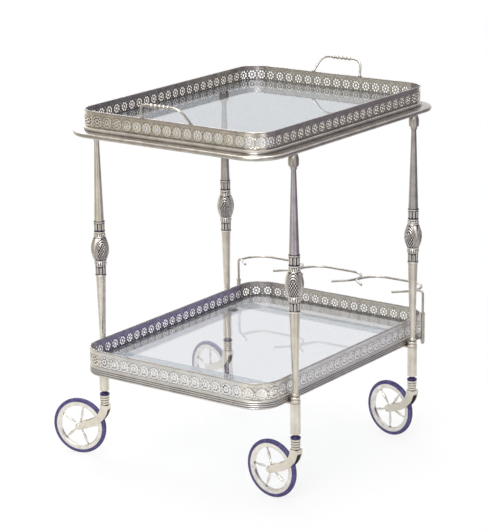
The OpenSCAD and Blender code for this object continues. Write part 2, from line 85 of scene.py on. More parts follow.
# Silver plate over brass: a warm satin metal. Hollows keep a violet-grey tarnish, ridges take
# their ridge tone, rubbed plate and on the galleries' lace also a painted highlight, and soft
# clouds of tarnish drift over the flats. Chased pieces carry a wear-and-highlight attribute, -1 in
# a hollow and 1 on a ridge.
def silverPlate(name, look):
    look = {**plated, **look}
    m, t = newMaterial(name)
    place = addNode(t, "ShaderNodeTexCoord")
    clouds = addNode(t, "ShaderNodeTexNoise",
                     {"Scale": 1 / (look["cloud"] * mm), "Detail": 4.0, "Roughness": 0.6},
                     {"Vector": (place, "Object")})
    cloudTone = addNode(t, "ShaderNodeMapRange", {"From Min": 0.35, "From Max": 0.68},
                        {"Value": (clouds, "Fac")})
    plain = addNode(t, "ShaderNodeMix",
                    {"data_type": "RGBA", 6: linear(look["bright"]), 7: linear(look["clouded"])},
                    {"Factor": (cloudTone, "Result")})
    wearAndHighlight = addNode(t, "ShaderNodeAttribute", {"attribute_name": "wearAndHighlight"})
    # Ridge tone where the attribute is high: rubbed plate, and on the galleries' lace a painted
    # highlight
    ridge = addNode(t, "ShaderNodeMapRange", {}, {"Value": (wearAndHighlight, "Fac")})
    ridgeTone = addNode(t, "ShaderNodeMix", {"data_type": "RGBA", 7: linear(look["ridgeTone"])},
                     {"Factor": (ridge, "Result"), 6: (plain, "Result")})
    sunk = addNode(t, "ShaderNodeMapRange", {"From Max": -1.0}, {"Value": (wearAndHighlight, "Fac")})
    narrow = addNode(t, "ShaderNodeAmbientOcclusion",
                     {"samples": 8, "only_local": True, "Distance": look["reach"] * mm})
    depth = addNode(t, "ShaderNodeMapRange", {"From Min": look["open"], "From Max": look["shut"]},
                    {"Value": (narrow, "AO")})
    hollow = addNode(t, "ShaderNodeMath", {"operation": "MAXIMUM"},
                     {0: (sunk, "Result"), 1: (depth, "Result")})
    colour = addNode(t, "ShaderNodeMix", {"data_type": "RGBA", 7: linear(look["tarnish"])},
                     {"Factor": (hollow, "Value"), 6: (ridgeTone, "Result")})
    tooth = addNode(t, "ShaderNodeTexNoise", {"Scale": 1 / (look["grain"] * mm), "Detail": 3.0},
                    {"Vector": (place, "Object")})
    smoothest, roughest = look["rough"]
    rough = addNode(t, "ShaderNodeMapRange", {"To Min": smoothest, "To Max": roughest},
                    {"Value": (tooth, "Fac")})
    surface = addNode(t, "ShaderNodeNewGeometry")
    facing = addNode(t, "ShaderNodeSeparateXYZ", {}, {"Vector": (surface, "Normal")})
    ledge = addNode(t, "ShaderNodeMapRange",
                    {"From Min": 0.97, "From Max": 1.0, "To Max": look["matt"]},
                    {"Value": (facing, "Z")})
    duller = addNode(t, "ShaderNodeMath", {"operation": "ADD"},
                     {0: (rough, "Result"), 1: (ledge, "Result")})
    bump = addNode(t, "ShaderNodeBump", {"Strength": look["bump"], "Distance": 0.1 * mm},
                   {"Height": (tooth, "Fac")})
    shader = addNode(t, "ShaderNodeBsdfPrincipled", {"Metallic": 1.0},
                     {"Base Color": (colour, "Result"), "Roughness": (duller, "Value"),
                      "Normal": (bump, "Normal")})
    addNode(t, "ShaderNodeOutputMaterial", {}, {"Surface": (shader, "BSDF")})
    return m


# Outside of the upper gallery, rim, handles and rack
satinSilver = silverPlate("satinSilverPlate", {
    "bright": "#cbc5bd", "clouded": "#ada7a0", "ridgeTone": "#f1e9d6", "tarnish": "#463f4a",
    "rough": (0.24, 0.42)})
# Shafts of the near upper legs: the satin plate painted a violet grey, a painted shade
coolShadedSilver = silverPlate("coolShadedSilverPlate", {
    "bright": "#cbc6cb", "clouded": "#b0aaaf", "ridgeTone": "#f1e9d6", "tarnish": "#463f4a",
    "rough": (0.24, 0.42)})
# Bends at the trays' corners and one lower leg: the plate painted brighter, a painted highlight, and
# smoother
cornerHighlightSilver = silverPlate("cornerHighlightSilverPlate", {
    "bright": "#efeae0", "clouded": "#d6d0c6", "ridgeTone": "#fbf6ea", "tarnish": "#4f4a52",
    "rough": (0.12, 0.22), "cloud": 14, "bump": 0.08})
# Outside of the lower gallery: paler and cooler
paleSilver = silverPlate("paleSilverPlate", {
    "bright": "#e6e5e4", "clouded": "#d0cecd", "ridgeTone": "#faf9f6", "tarnish": "#5a5566",
    "rough": (0.26, 0.42), "cloud": 20})
# Top beads, which are handled most and have gone a duller grey, and one near shaft, whose duller grey
# is a painted shade
dulledAndShadedSilver = silverPlate("dulledAndShadedSilverPlate", {
    "bright": "#c4bebb", "clouded": "#a8a29f", "ridgeTone": "#d8d2c6", "tarnish": "#4f4a57",
    "rough": (0.3, 0.48), "cloud": 18, "bump": 0.14})
# Chased work: the same plate with deep tarnish between the leaves
chasedSilver = silverPlate("chasedSilverPlate", {
    "bright": "#bdb6b0", "clouded": "#a29b97", "ridgeTone": "#fffaf0", "tarnish": "#3a3345",
    "rough": (0.26, 0.4), "cloud": 9, "grain": 1.2, "reach": 1.6, "shut": 0.5, "bump": 0.1})
# Inside of the galleries, which no cloth reaches: dark round the holes, greyer on the flats.
# The lower tray's left wall is painted a violet shade, and the rear walls paler and warmer as painted
# light.
inner = {"rough": (0.3, 0.46), "cloud": 14, "shut": 0.4, "bump": 0.15}
tarnishedSilver = silverPlate("tarnishedSilverPlate", {
    "bright": "#cdc8c2", "clouded": "#aca6a4", "ridgeTone": "#8b847f", "tarnish": "#7d7679", **inner})
# Painted shade: a violet copy of the inner plate
violetShadedSilver = silverPlate("violetShadedSilverPlate", {
    "bright": "#b7aecb", "clouded": "#978eae", "ridgeTone": "#7f7598", "tarnish": "#6b608a", **inner})
# Painted light: a paler, warmer copy of the inner plate
goldenLitSilver = silverPlate("goldenLitSilverPlate", {
    "bright": "#e9e4d9", "clouded": "#d0cabe", "ridgeTone": "#c2baab", "tarnish": "#aca597", **inner})
# Moulding and ledge of the lower tray: bright reeds with dark grooves, and a matt ledge
reededSilver = silverPlate("reededSilverPlate", {
    "bright": "#e2dfda", "clouded": "#cac6c1", "ridgeTone": "#ece5d2", "tarnish": "#352b44",
    "rough": (0.24, 0.4), "reach": 3.5, "open": 0.96, "shut": 0.62, "bump": 0.1, "matt": 0.5})
# Base plate under the upper glass, never polished: pale and matt
mattSilver = silverPlate("mattSilverPlate", {
    "bright": "#e4e1dc", "clouded": "#cecac6", "ridgeTone": "#ece5d2", "tarnish": "#5a5564",
    "rough": (0.4, 0.5), "reach": 3.5, "open": 0.6, "shut": 0.3, "bump": 0.1, "matt": 0.4})
# Lower shafts, sleeves and forks: fresher, ivory-toned plate
brightSilver = silverPlate("brightSilverPlate", {
    "bright": "#e9e3d6", "clouded": "#d4cdbf", "ridgeTone": "#f2ecdd", "tarnish": "#453d5a",
    "rough": (0.22, 0.38), "cloud": 26, "grain": 1.4, "reach": 3.5, "shut": 0.5, "bump": 0.08})
# Wheels and axle pins of the casters: whiter plate, mottled, dark where parts meet
casterSilver = silverPlate("casterSilverPlate", {
    "bright": "#f3efe6", "clouded": "#dcd7d1", "ridgeTone": "#f2ecdd", "tarnish": "#3a3150",
    "rough": (0.2, 0.34), "cloud": 9, "grain": 1.4, "reach": 4, "open": 0.97, "shut": 0.6,
    "bump": 0.1})


# Blued steel of the caster stems and leg rods: dark violet, half polished, turned
def bluedSteel(look):
    m, t = newMaterial("bluedSteel")
    place = addNode(t, "ShaderNodeTexCoord")
    rings = addNode(t, "ShaderNodeTexNoise", {"Scale": 1 / (look["rings"] * mm), "Detail": 2.0},
                    {"Vector": (place, "Object")})
    colour = addNode(t, "ShaderNodeMix",
                     {"data_type": "RGBA", 6: linear(look["dark"]), 7: linear(look["light"])},
                     {"Factor": (rings, "Fac")})
    rough = addNode(t, "ShaderNodeMapRange", {"To Min": 0.25, "To Max": 0.45},
                    {"Value": (rings, "Fac")})
    shader = addNode(t, "ShaderNodeBsdfPrincipled", {"Metallic": 1.0},
                     {"Base Color": (colour, "Result"), "Roughness": (rough, "Result")})
    addNode(t, "ShaderNodeOutputMaterial", {}, {"Surface": (shader, "BSDF")})
    return m


# Sandblasted glass of the bars under the lower pane: pale and cloudy, with a fine tooth, and
# much of what lies behind shines through
def frostedGlass(look):
    m, t = newMaterial("sandblastedGlass")
    place = addNode(t, "ShaderNodeTexCoord")
    blast = addNode(t, "ShaderNodeTexNoise", {"Scale": 1 / (look["blast"] * mm), "Detail": 4.0},
                    {"Vector": (place, "Object")})
    colour = addNode(t, "ShaderNodeMix",
                     {"data_type": "RGBA", 6: linear(look["pale"]), 7: linear(look["cloudy"])},
                     {"Factor": (blast, "Fac")})
    rough = addNode(t, "ShaderNodeMapRange", {"To Min": 0.4, "To Max": 0.6},
                    {"Value": (blast, "Fac")})
    bump = addNode(t, "ShaderNodeBump", {"Strength": 0.2, "Distance": 0.1 * mm},
                   {"Height": (blast, "Fac")})
    shader = addNode(t, "ShaderNodeBsdfPrincipled", {"IOR": 1.5},
                     {"Base Color": (colour, "Result"), "Roughness": (rough, "Result"),
                      "Normal": (bump, "Normal")})
    clear = addNode(t, "ShaderNodeBsdfTransparent", {"Color": (1, 1, 1, 1)})
    mix = addNode(t, "ShaderNodeMixShader", {0: look["clear"]},
                  {1: (shader, "BSDF"), 2: (clear, "BSDF")})
    addNode(t, "ShaderNodeOutputMaterial", {}, {"Surface": (mix, "Shader")})
    return m


# Vulcanised rubber, moulded: dull, dusty where the tread has rolled
def tyreRubber(look):
    m, t = newMaterial("vulcanisedRubber")
    place = addNode(t, "ShaderNodeTexCoord")
    dust = addNode(t, "ShaderNodeTexNoise", {"Scale": 1 / (look["dust"] * mm), "Detail": 5.0},
                   {"Vector": (place, "Object")})
    grit = addNode(t, "ShaderNodeTexNoise", {"Scale": 1 / (look["grit"] * mm), "Detail": 2.0},
                   {"Vector": (place, "Object")})
    tone = addNode(t, "ShaderNodeMapRange", {"From Min": 0.4, "From Max": 0.7},
                   {"Value": (dust, "Fac")})
    colour = addNode(t, "ShaderNodeMix",
                     {"data_type": "RGBA", 6: linear(look["clean"]), 7: linear(look["dusty"])},
                     {"Factor": (tone, "Result")})
    bump = addNode(t, "ShaderNodeBump", {"Strength": 0.2, "Distance": 0.15 * mm},
                   {"Height": (grit, "Fac")})
    shader = addNode(t, "ShaderNodeBsdfPrincipled", {"Roughness": 0.55, "IOR": 1.52},
                     {"Base Color": (colour, "Result"), "Normal": (bump, "Normal")})
    addNode(t, "ShaderNodeOutputMaterial", {}, {"Surface": (shader, "BSDF")})
    return m


# Float glass: clear, polished, with a cool tint. Lamps shine through it, so what stands
# under a pane isn't left in the dark.
def floatGlass(name, tint):
    m, t = newMaterial(name)
    shader = addNode(t, "ShaderNodeBsdfPrincipled", {
        "Base Color": linear(tint), "Roughness": 0.0, "IOR": 1.52, "Transmission Weight": 1.0})
    clear = addNode(t, "ShaderNodeBsdfTransparent", {"Color": linear(tint)})
    path = addNode(t, "ShaderNodeLightPath")
    mix = addNode(t, "ShaderNodeMixShader", {},
                  {0: (path, "Is Shadow Ray"), 1: (shader, "BSDF"), 2: (clear, "BSDF")})
    addNode(t, "ShaderNodeOutputMaterial", {}, {"Surface": (mix, "Shader")})
    return m


steel = bluedSteel({"dark": "#3d3660", "light": "#5b5480", "rings": 1.5})
rubber = tyreRubber({"clean": "#3c3466", "dusty": "#5a5284", "dust": 7, "grit": 1.1})
frosted = frostedGlass({"pale": "#c3c8c7", "cloudy": "#aeb4b3", "blast": 3, "clear": 0.6})
upperPane = floatGlass("floatGlassUpper", "#c3c8ce")
lowerPane = floatGlass("floatGlassLower", "#e3e5ea")
print("materials made")


# Angles in degrees, the place in metres from the trays' middle, the focal length and the
# picture's long side in pixels
view = {"yaw": 36.037, "pitch": 15.406, "roll": 0.794, "place": (-3.4001, -2.4391, 1.5394),
        "focal": 2170.2, "longSide": 532}


# Camera axes from yaw about Z, pitch below the horizon and roll about the line of sight
def makeCamera(v):
    yaw, pitch, roll = (math.radians(v[k]) for k in ("yaw", "pitch", "roll"))
    ahead = Vector((math.cos(yaw) * math.cos(pitch), math.sin(yaw) * math.cos(pitch),
                    -math.sin(pitch)))
    level = Vector((math.sin(yaw), -math.cos(yaw), 0))
    down = ahead.cross(level)
    right = math.cos(roll) * level + math.sin(roll) * down
    up = math.sin(roll) * level - math.cos(roll) * down
    data = bpy.data.cameras.new("camera")
    data.sensor_width = 36
    data.lens = v["focal"] / v["longSide"] * data.sensor_width
    cam = bpy.data.objects.new("camera", data)
    turn = Matrix((right, up, -ahead)).transposed().to_4x4()
    cam.matrix_world = Matrix.Translation(Vector(v["place"]) + Vector((0, middleY, 0))) @ turn
    bpy.context.scene.collection.objects.link(cam)
    bpy.context.scene.camera = cam


makeCamera(view)

studio = {
    "floor": "#f2f2f0", "floorSize": 60,
    "floorGlow": 0.8, "glowReach": (0.45, 1.25),   # glow's share at the cart, metres to a full one
    "roomLight": 0.5, "mirrorLight": 0.92,         # strength of the room, and of it in metal
    "nearTone": 0.3, "toneReach": (0.7, 2.3),      # the floor's tones likewise
    "overhead": (0.25, 0.9),                       # heights in which the room turns white
    "behind": (0.45, 0.85),                        # cosines in which it turns white at the back
    "tones": [  # what metal sees round the cart: sine of the angle from the camera, left to right
        (-1.0, "#bcb5aa"), (-0.86, "#d8d3c8"), (-0.66, "#ffffff"), (-0.42, "#dcd8d2"),
        (-0.12, "#b2adaa"), (0.14, "#b2adaa"), (0.42, "#ffffff"), (0.56, "#f4f2f0"),
        (0.76, "#8d8894"), (1.0, "#7f7a88")],
    "lamps": {  # place, size in metres, watts
        "key": ((-2.9, -1.0, 2.5), 1.6, 75),
        "back": ((1.6, 2.6, 2.1), 1.4, 32),
        "top": ((0.2, 0.3, 3.2), 2.2, 62)},
    "aim": (0, 0, 0.4)}


# Area lamps that face the cart's middle
def addLamps(s):
    for name, (place, size, watts) in s["lamps"].items():
        data = bpy.data.lights.new(name, "AREA")
        data.size, data.energy = size, watts
        lamp = bpy.data.objects.new(name, data)
        away = Vector(place) - Vector(s["aim"])
        lamp.location = place
        lamp.rotation_mode = "QUATERNION"
        lamp.rotation_quaternion = away.to_track_quat("Z", "Y")
        bpy.context.scene.collection.objects.link(lamp)


# The largest of some ray kinds' outputs, so 1 for a ray of any of them
def anyRay(t, path, kinds):
    total = addNode(t, "ShaderNodeMath", {"operation": "MAXIMUM"},
                    {0: (path, kinds[0]), 1: (path, kinds[1])})
    for kind in kinds[2:]:
        total = addNode(t, "ShaderNodeMath", {"operation": "MAXIMUM"},
                        {0: (total, "Value"), 1: (path, kind)})
    return total


# 1 once a ray has been mirrored by metal or glass, else 0
def mirroredRay(t, path):
    return addNode(t, "ShaderNodeMath", {"operation": "GREATER_THAN", 1: 0.5},
                   {0: (path, "Glossy Depth")})


# The tones round the cart by the sine of the level angle from the camera's side, and white
# where the vector points away behind the cart
def roundTones(t, s, vector):
    yaw = math.radians(view["yaw"])
    level = addNode(t, "ShaderNodeVectorMath", {"operation": "MULTIPLY", 1: (1, 1, 0)},
                    {0: vector})
    unit = addNode(t, "ShaderNodeVectorMath", {"operation": "NORMALIZE"}, {0: (level, "Vector")})
    aside, behind = (addNode(t, "ShaderNodeVectorMath", {"operation": "DOT_PRODUCT", 1: axis},
                             {0: (unit, "Vector")})
                     for axis in ((math.sin(yaw), -math.cos(yaw), 0),
                                  (math.cos(yaw), math.sin(yaw), 0)))
    along = addNode(t, "ShaderNodeMapRange", {"From Min": -1.0}, {"Value": (aside, "Value")})
    ramp = addNode(t, "ShaderNodeValToRGB", {}, {"Fac": (along, "Result")})
    stops = ramp.color_ramp.elements
    while len(stops) < len(s["tones"]):
        stops.new(0.5)
    for stop, (place, tone) in zip(stops, s["tones"]):
        stop.position, stop.color = (place + 1) / 2, linear(tone)
    start, full = s["behind"]
    far = addNode(t, "ShaderNodeMapRange",
                  {"interpolation_type": "SMOOTHSTEP", "From Min": start, "From Max": full},
                  {"Value": (behind, "Value")})
    return addNode(t, "ShaderNodeMix", {"data_type": "RGBA", 7: (1, 1, 1, 1)},
                   {"Factor": (far, "Result"), 6: (ramp, "Color")})


# The floor: a pale diffuse plane. Straight to the eye, through glass and in metal it also glows
# white, less so round the cart, so that its shadow stays. In metal the glow is toned to the
# sides, and less so near the cart.
def makeFloor(s):
    bpy.ops.mesh.primitive_plane_add(size=s["floorSize"])
    floor = bpy.context.object
    floor.name = "floor"
    m, t = newMaterial("paintedFloor")
    place = addNode(t, "ShaderNodeTexCoord")
    matt = addNode(t, "ShaderNodeBsdfDiffuse", {"Color": linear(s["floor"])})
    path = addNode(t, "ShaderNodeLightPath")
    mirrored = mirroredRay(t, path)
    tone = roundTones(t, s, (place, "Object"))
    reach = addNode(t, "ShaderNodeVectorMath", {"operation": "LENGTH"}, {0: (place, "Object")})
    distant, clear = (addNode(t, "ShaderNodeMapRange",
                              {"interpolation_type": "SMOOTHSTEP", "From Min": start,
                               "From Max": full, "To Min": least}, {"Value": (reach, "Value")})
                      for (start, full), least in ((s["toneReach"], s["nearTone"]),
                                                   (s["glowReach"], s["floorGlow"])))
    toned = addNode(t, "ShaderNodeMath", {"operation": "MULTIPLY"},
                    {0: (mirrored, "Value"), 1: (distant, "Result")})
    seenTone = addNode(t, "ShaderNodeMix", {"data_type": "RGBA", 6: (1, 1, 1, 1)},
                       {"Factor": (toned, "Value"), 7: (tone, "Result")})
    glow = addNode(t, "ShaderNodeEmission", {"Strength": 1.0}, {"Color": (seenTone, "Result")})
    seen = anyRay(t, path, ("Is Camera Ray", "Is Glossy Ray", "Is Transmission Ray"))
    share = addNode(t, "ShaderNodeMath", {"operation": "MULTIPLY"},
                    {0: (seen, "Value"), 1: (clear, "Result")})
    mix = addNode(t, "ShaderNodeMixShader", {},
                  {0: (share, "Value"), 1: (matt, "BSDF"), 2: (glow, "Emission")})
    addNode(t, "ShaderNodeOutputMaterial", {}, {"Surface": (mix, "Shader")})
    floor.data.materials.append(m)


# The room: white for what the camera sees directly or through glass. Polished metal sees the
# tones round the cart, and white overhead.
def makeWorld(s):
    world = bpy.data.worlds.new("studio")
    bpy.context.scene.world = world
    world.use_nodes = True
    t = world.node_tree
    t.nodes.clear()
    place = addNode(t, "ShaderNodeTexCoord")
    height = addNode(t, "ShaderNodeSeparateXYZ", {}, {"Vector": (place, "Generated")})
    start, full = s["overhead"]
    overhead = addNode(t, "ShaderNodeMapRange",
                       {"interpolation_type": "SMOOTHSTEP", "From Min": start, "From Max": full},
                       {"Value": (height, "Z")})
    tones = roundTones(t, s, (place, "Generated"))
    room = addNode(t, "ShaderNodeMix", {"data_type": "RGBA", 7: (1, 1, 1, 1)},
                   {"Factor": (overhead, "Result"), 6: (tones, "Result")})
    path = addNode(t, "ShaderNodeLightPath")
    mirrored = mirroredRay(t, path)
    level = addNode(t, "ShaderNodeMapRange", {"To Min": s["roomLight"], "To Max": s["mirrorLight"]},
                    {"Value": (mirrored, "Value")})
    light = addNode(t, "ShaderNodeBackground", {},
                    {"Color": (room, "Result"), "Strength": (level, "Result")})
    seen = anyRay(t, path, ("Is Camera Ray", "Is Transmission Ray"))
    straight = addNode(t, "ShaderNodeMath", {"operation": "SUBTRACT", "use_clamp": True},
                       {0: (seen, "Value"), 1: (mirrored, "Value")})
    white = addNode(t, "ShaderNodeBackground", {"Color": (1, 1, 1, 1), "Strength": 1.0})
    mix = addNode(t, "ShaderNodeMixShader", {},
                  {0: (straight, "Value"), 1: (light, "Background"), 2: (white, "Background")})
    addNode(t, "ShaderNodeOutputWorld", {}, {"Surface": (mix, "Shader")})


addLamps(studio)
makeFloor(studio)
makeWorld(studio)
bpy.context.scene.view_settings.view_transform = "Standard"
print("camera and studio set")


# One object from numpy points and a list of faces, at the origin, in metres, with each point's
# wear and painted highlight. The faces from number inner on take the second material. Edges
# sharper than sharp degrees stay sharp.
def meshObject(name, points, faces, materials, sharp=40, wearAndHighlight=None, inner=None):
    mesh = bpy.data.meshes.new(name)
    mesh.from_pydata((np.asarray(points) * mm + np.array([0, middleY, 0])).tolist(), [], faces)
    mesh.polygons.foreach_set("use_smooth", np.ones(len(mesh.polygons), bool))
    mesh.set_sharp_from_angle(angle=math.radians(sharp))
    for m in materials:
        mesh.materials.append(m)
    if inner is not None:
        second = np.arange(len(faces)) >= inner
        mesh.polygons.foreach_set("material_index", second.astype(np.int32))
    if wearAndHighlight is not None:
        attribute = mesh.attributes.new("wearAndHighlight", "FLOAT", "POINT")
        attribute.data.foreach_set("value", wearAndHighlight.astype(np.float32).ravel())
    obj = bpy.data.objects.new(name, mesh)
    bpy.context.scene.collection.objects.link(obj)
    return obj


# Quads of a grid of rows by columns points. closed joins the last column to the first.
def gridFaces(rows, columns, closed):
    last = columns if closed else columns - 1
    r, c = np.meshgrid(np.arange(rows - 1), np.arange(last), indexing="ij")
    r, c = r.ravel(), c.ravel()
    near, far = r * columns, (r + 1) * columns
    d = (c + 1) % columns
    return np.stack([near + c, near + d, far + d, far + c], 1)


# Smooth step from 0 at a to 1 at b
def ease(x, a, b):
    t = np.clip((x - a) / (b - a), 0, 1)
    return t * t * (3 - 2 * t)


# Bell curve: 1 at distance 0, for ridges and grooves about w to each side
def bell(distance, w):
    return np.exp(-(distance / w) ** 2)


gallery = {
    "thick": 1.6, "bead": 1.5, "beadSides": 14, "pitch": 23.0, "mesh": 0.9,
    "rise": 15.2,                                    # height of the rosettes' middles
    "petals": 8, "ringRadius": 6.9, "petalRadius": 2.3, "eyeRadius": 2.6,   # a rosette's holes
    "dotRadius": 1.3, "dotOffset": 7.6,              # the small holes between two rosettes
    "holeSides": 28, "halfSides": 7,                 # points round a hole, and round half a one
    "ropeRadius": 10.2, "eyeRope": 3.6, "collar": 2.5,   # ropes round rosette, eye and small hole
    "leafPitch": 9.0, "veinPitch": 4.4, "rays": 9}
upperTray = {"hx": 286.5, "hy": 218.5, "corner": 40.0, "height": 34.5, "z": 696.4,
             "carving": 0.2, "finish": satinSilver, "insides": {"rear": goldenLitSilver}}
lowerTray = {"hx": 296.0, "hy": 222.0, "corner": 50.0, "height": 36.0, "z": 220.0,
             "carving": 0.5, "finish": paleSilver,
             "insides": {"rear": goldenLitSilver, "left": violetShadedSilver}}


# Centres and radii of the holes in one tile, whose rosette is in its middle: the eye, the
# petals on a ring round it, and two small holes on each side edge
def tileHoles(width):
    g = gallery
    mid, n, ring = g["rise"], g["petals"], g["ringRadius"]
    a = 2 * np.pi * (np.arange(n) + 0.5) / n
    petals = np.stack([ring * np.cos(a), mid + ring * np.sin(a), np.full(n, g["petalRadius"])], 1)
    dots = [[s * width / 2, mid + u * g["dotOffset"], g["dotRadius"]]
            for s in (-1, 1) for u in (-1, 1)]
    return np.vstack([[[0, mid, g["eyeRadius"]]], petals, dots])


# How far each point is from the nearest hole's edge, less than 0 inside one
def holeGap(p, holes):
    far = np.hypot(p[:, None, 0] - holes[:, 0], p[:, None, 1] - holes[:, 1])
    return np.min(far - holes[:, 2], axis=1)


# Flat triangulated tile: an even grid of points plus a ring of points on each hole, joined
# by a constrained Delaunay triangulation. Triangles whose middle lies in a hole go.
def makeTile(width, h):
    holes = tileHoles(width)
    step = gallery["mesh"]
    nx, nz = round(width / step), round(h / step)
    x, z = np.meshgrid(np.linspace(-width / 2, width / 2, nx + 1), np.linspace(0, h, nz + 1))
    grid = np.stack([x.ravel(), z.ravel()], 1)
    gap = holeGap(grid, holes)
    edge = np.abs(np.abs(grid[:, 0]) - width / 2) < 1e-6
    grid = grid[(gap > 0.4 * step) | (edge & (gap > 1e-3))]
    points, links = [grid], []
    count = len(grid)
    for cx, cz, r in holes:
        onEdge = abs(abs(cx) - width / 2) < 1e-6
        if onEdge:   # half a hole, with its ends on the tile's edge
            start = np.pi / 2 if cx > 0 else -np.pi / 2
            a = np.linspace(start, start + np.pi, gallery["halfSides"])
        else:
            a = np.linspace(0, 2 * np.pi, gallery["holeSides"], endpoint=False)
        ring = np.stack([cx + r * np.cos(a), cz + r * np.sin(a)], 1)
        if onEdge:
            ring[[0, -1], 0] = cx
        k = np.arange(len(ring))
        pairs = np.stack([k, (k + 1) % len(ring)], 1)
        links.append((pairs[:-1] if onEdge else pairs) + count)
        points.append(ring)
        count += len(ring)
    points = [Vector(p) for p in np.vstack(points)]
    flat, _, tris, _, _, _ = delaunay_2d_cdt(points, np.vstack(links).tolist(), [], 0, 1e-5)
    flat = np.array([tuple(p) for p in flat])
    tris = np.array([f for f in tris if len(f) == 3])
    a, b, c = (flat[tris[:, k]] for k in range(3))
    area = (b - a)[:, 0] * (c - a)[:, 1] - (b - a)[:, 1] * (c - a)[:, 0]
    solid = (holeGap(flat[tris].mean(1), holes) >= 0) & (np.abs(area) > 1e-7)
    tris, turned = tris[solid], area[solid] < 0
    tris[turned] = tris[turned][:, ::-1]
    return flat, tris, holes


# Height of the relief above the plain strip, and its wear with painted light and shade: the lace
# round each rosette is painted bright for the top light its rounded edges catch, and the groove
# along the foot painted dark for the shadow at the wall's foot. A rope runs round the rosette and
# round its eye, lips round the holes ease down, a groove runs along the foot and a fillet along
# the top. Leaves and veins, each a product of cosines, cover the ground between the rosettes,
# and rays stand in a row above them.
def embossing(p, holes, width, h, carving):
    g = gallery
    x, z = p[:, 0], p[:, 1]
    mid = g["rise"]
    row = h / round(h / g["mesh"])
    across = 2 * np.pi * x / width
    radius = np.hypot(x, z - mid)
    firstDot = 1 + g["petals"]
    dots = holes[firstDot:]
    dot = np.min(np.hypot(x[:, None] - dots[:, 0], z[:, None] - dots[:, 1]), axis=1)
    lip = bell(holeGap(p, holes), 0.4)
    rope, eye = bell(radius - g["ropeRadius"], 0.55), bell(radius - g["eyeRope"], 0.5)
    collar, moat = bell(dot - g["collar"], 0.5), bell(radius - g["ropeRadius"] - 1.1, 0.6)
    lace = 1 - ease(radius, 9.6, 10.8)
    foot, top = bell(z - 3 * row, 0.5), bell(z - (h - 5 * row), 0.6)
    away = ease(radius, 10.4, 11.6) * ease(dot, 2.6, 3.4)
    band = ease(z, 4 * row, 5.5 * row) * (1 - ease(z, h - 7.5, h - 6))
    leaf = np.cos(2 * across) * np.cos(2 * np.pi * (z - mid) / g["leafPitch"])
    vein = np.cos(5 * across) * np.cos(2 * np.pi * z / g["veinPitch"] + 1.5 * np.cos(across))
    ground = away * band * (0.5 * leaf + 0.7 * vein)
    above = ease(z, h - 8, h - 6.5) * (1 - ease(z, h - 3.4, h - 2.4))
    rays = above * np.cos(g["rays"] * across)
    off = (0.45 * lace + 0.2 * rope + 0.15 * eye + 0.4 * collar - 0.15 * lip - 0.3 * foot
           + 0.25 * top + carving * (ground + 0.4 * rays))
    # Bright on lace, ropes and collars, the lace partly as a painted highlight; dark in the foot
    # groove, a painted shadow
    wearAndHighlight = (0.5 * rope + 0.9 * lace + 0.7 * collar - 0.9 * foot + 0.4 * top
            + (0.4 + carving) * (ground + 0.3 * rays))
    plain = 1 - ease(z, h - 3.2, h - 2.4)
    return off * plain, np.clip(wearAndHighlight - 0.5 * moat, -1, 1) * plain


# Places of points s along a run and off outwards from it. A straight run goes from its middle
# along the tangent, a bend turns about its centre by s over its radius.
def onRun(run, s, off):
    if "radius" in run:
        a = run["start"] + s / run["radius"]
        r = run["radius"] + off
        return np.stack([run["centre"][0] + r * np.cos(a), run["centre"][1] + r * np.sin(a)], 1)
    n = np.array(run["out"])
    tangent = np.array([-n[1], n[0]])
    return np.array(run["edge"]) + (s - run["length"] / 2)[:, None] * tangent + off[:, None] * n


# The gallery's runs in counter-clockwise order, by the name of the node that each stands for
def galleryRuns(t):
    hx, hy, r = t["hx"], t["hy"], t["corner"]
    side = {"left": ((0, 1), (0, hy), hx), "right": ((0, -1), (0, -hy), hx),
            "front": ((-1, 0), (-hx, 0), hy), "rear": ((1, 0), (hx, 0), hy)}
    runs = {k: [{"out": out, "edge": edge, "length": 2 * (half - r)}]
            for k, (out, edge, half) in side.items()}
    quarter = np.pi / 2
    signs = ((1, 1), (-1, 1), (-1, -1), (1, -1))
    runs["corners"] = [{"centre": (sx * (hx - r), sy * (hy - r)), "start": i * quarter,
                        "radius": r, "length": r * quarter} for i, (sx, sy) in enumerate(signs)]
    return runs


